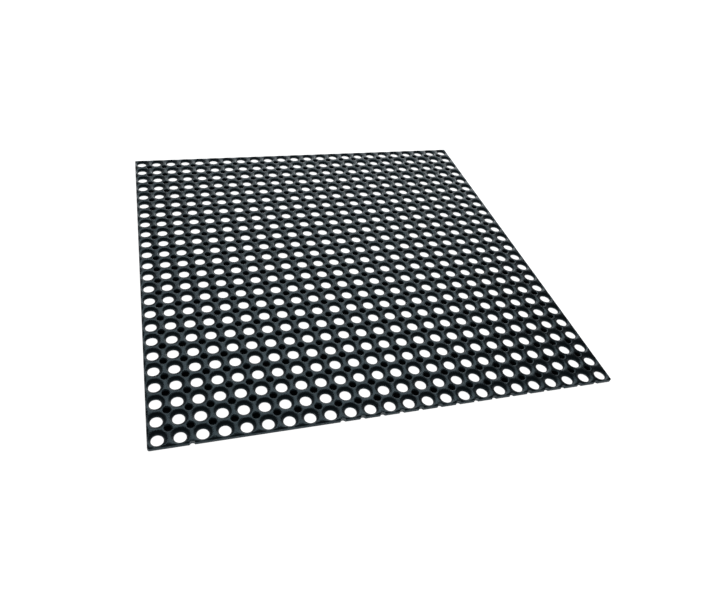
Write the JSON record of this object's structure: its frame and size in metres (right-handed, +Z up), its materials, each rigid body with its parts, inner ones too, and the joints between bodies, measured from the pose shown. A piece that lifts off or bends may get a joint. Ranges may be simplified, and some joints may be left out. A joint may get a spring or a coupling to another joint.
{
  "type": "door mat",
  "caption": "Square black rubber ring mat: a moulded lattice of round drain holes, flexible, so it rolls up from one edge.",
  "frame": {"origin": "middle of the underside, on the floor", "axes": "+X along the rows of holes, +Y from row 1 at the front edge to row 24 at the back edge, +Z up out of the floor"},
  "size_m": [0.9, 0.9, 0.01],
  "materials": {
    "rubber": "matte, lightly polished on the ring tops"
  },
  "bodies": {
    "row_01": {"ring_row_01": "rubber"},
    "row_02": {"ring_row_02": "rubber"},
    "row_03": {"ring_row_03": "rubber"},
    "row_04": {"ring_row_04": "rubber"},
    "row_05": {"ring_row_05": "rubber"},
    "row_06": {"ring_row_06": "rubber"},
    "row_07": {"ring_row_07": "rubber"},
    "row_08": {"ring_row_08": "rubber"},
    "row_09": {"ring_row_09": "rubber"},
    "row_10": {"ring_row_10": "rubber"},
    "row_11": {"ring_row_11": "rubber"},
    "row_12": {"ring_row_12": "rubber"},
    "row_13": {"ring_row_13": "rubber"},
    "row_14": {"ring_row_14": "rubber"},
    "row_15": {"ring_row_15": "rubber"},
    "row_16": {"ring_row_16": "rubber"},
    "row_17": {"ring_row_17": "rubber"},
    "row_18": {"ring_row_18": "rubber"},
    "row_19": {"ring_row_19": "rubber"},
    "row_20": {"ring_row_20": "rubber"},
    "row_21": {"ring_row_21": "rubber"},
    "row_22": {"ring_row_22": "rubber"},
    "row_23": {"ring_row_23": "rubber"},
    "row_24": {"ring_row_24": "rubber"}
  },
  "joints": [
    {"name": "bend_01", "type": "hinge", "parent": "row_01", "child": "row_02", "pos_m": [0, -0.41436, 0.005], "axis": [1, 0, 0], "range_deg": [0, 20], "stiffness_Nm_per_rad": 2},
    {"name": "bend_02", "type": "hinge", "parent": "row_02", "child": "row_03", "pos_m": [0, -0.3767, 0.005], "axis": [1, 0, 0], "range_deg": [0, 20.6], "stiffness_Nm_per_rad": 2},
    {"name": "bend_03", "type": "hinge", "parent": "row_03", "child": "row_04", "pos_m": [0, -0.33903, 0.005], "axis": [1, 0, 0], "range_deg": [0, 21.2], "stiffness_Nm_per_rad": 2},
    {"name": "bend_04", "type": "hinge", "parent": "row_04", "child": "row_05", "pos_m": [0, -0.30136, 0.005], "axis": [1, 0, 0], "range_deg": [0, 21.8], "stiffness_Nm_per_rad": 2},
    {"name": "bend_05", "type": "hinge", "parent": "row_05", "child": "row_06", "pos_m": [0, -0.26369, 0.005], "axis": [1, 0, 0], "range_deg": [0, 22.4], "stiffness_Nm_per_rad": 2},
    {"name": "bend_06", "type": "hinge", "parent": "row_06", "child": "row_07", "pos_m": [0, -0.22602, 0.005], "axis": [1, 0, 0], "range_deg": [0, 23], "stiffness_Nm_per_rad": 2},
    {"name": "bend_07", "type": "hinge", "parent": "row_07", "child": "row_08", "pos_m": [0, -0.18835, 0.005], "axis": [1, 0, 0], "range_deg": [0, 23.6], "stiffness_Nm_per_rad": 2},
    {"name": "bend_08", "type": "hinge", "parent": "row_08", "child": "row_09", "pos_m": [0, -0.15068, 0.005], "axis": [1, 0, 0], "range_deg": [0, 24.2], "stiffness_Nm_per_rad": 2},
    {"name": "bend_09", "type": "hinge", "parent": "row_09", "child": "row_10", "pos_m": [0, -0.11301, 0.005], "axis": [1, 0, 0], "range_deg": [0, 24.8], "stiffness_Nm_per_rad": 2},
    {"name": "bend_10", "type": "hinge", "parent": "row_10", "child": "row_11", "pos_m": [0, -0.07534, 0.005], "axis": [1, 0, 0], "range_deg": [0, 25.4], "stiffness_Nm_per_rad": 2},
    {"name": "bend_11", "type": "hinge", "parent": "row_11", "child": "row_12", "pos_m": [0, -0.03767, 0.005], "axis": [1, 0, 0], "range_deg": [0, 26], "stiffness_Nm_per_rad": 2},
    {"name": "bend_12", "type": "hinge", "parent": "row_12", "child": "row_13", "pos_m": [0, 0, 0.005], "axis": [1, 0, 0], "range_deg": [0, 26.6], "stiffness_Nm_per_rad": 2},
    {"name": "bend_13", "type": "hinge", "parent": "row_13", "child": "row_14", "pos_m": [0, 0.03767, 0.005], "axis": [1, 0, 0], "range_deg": [0, 27.2], "stiffness_Nm_per_rad": 2},
    {"name": "bend_14", "type": "hinge", "parent": "row_14", "child": "row_15", "pos_m": [0, 0.07534, 0.005], "axis": [1, 0, 0], "range_deg": [0, 27.8], "stiffness_Nm_per_rad": 2},
    {"name": "bend_15", "type": "hinge", "parent": "row_15", "child": "row_16", "pos_m": [0, 0.11301, 0.005], "axis": [1, 0, 0], "range_deg": [0, 28.4], "stiffness_Nm_per_rad": 2},
    {"name": "bend_16", "type": "hinge", "parent": "row_16", "child": "row_17", "pos_m": [0, 0.15068, 0.005], "axis": [1, 0, 0], "range_deg": [0, 29], "stiffness_Nm_per_rad": 2},
    {"name": "bend_17", "type": "hinge", "parent": "row_17", "child": "row_18", "pos_m": [0, 0.18835, 0.005], "axis": [1, 0, 0], "range_deg": [0, 29.6], "stiffness_Nm_per_rad": 2},
    {"name": "bend_18", "type": "hinge", "parent": "row_18", "child": "row_19", "pos_m": [0, 0.22602, 0.005], "axis": [1, 0, 0], "range_deg": [0, 30.2], "stiffness_Nm_per_rad": 2},
    {"name": "bend_19", "type": "hinge", "parent": "row_19", "child": "row_20", "pos_m": [0, 0.26369, 0.005], "axis": [1, 0, 0], "range_deg": [0, 30.8], "stiffness_Nm_per_rad": 2},
    {"name": "bend_20", "type": "hinge", "parent": "row_20", "child": "row_21", "pos_m": [0, 0.30136, 0.005], "axis": [1, 0, 0], "range_deg": [0, 31.4], "stiffness_Nm_per_rad": 2},
    {"name": "bend_21", "type": "hinge", "parent": "row_21", "child": "row_22", "pos_m": [0, 0.33903, 0.005], "axis": [1, 0, 0], "range_deg": [0, 32], "stiffness_Nm_per_rad": 2},
    {"name": "bend_22", "type": "hinge", "parent": "row_22", "child": "row_23", "pos_m": [0, 0.3767, 0.005], "axis": [1, 0, 0], "range_deg": [0, 32.6], "stiffness_Nm_per_rad": 2},
    {"name": "bend_23", "type": "hinge", "parent": "row_23", "child": "row_24", "pos_m": [0, 0.41436, 0.005], "axis": [1, 0, 0], "range_deg": [0, 33.2], "stiffness_Nm_per_rad": 2}
  ]
}
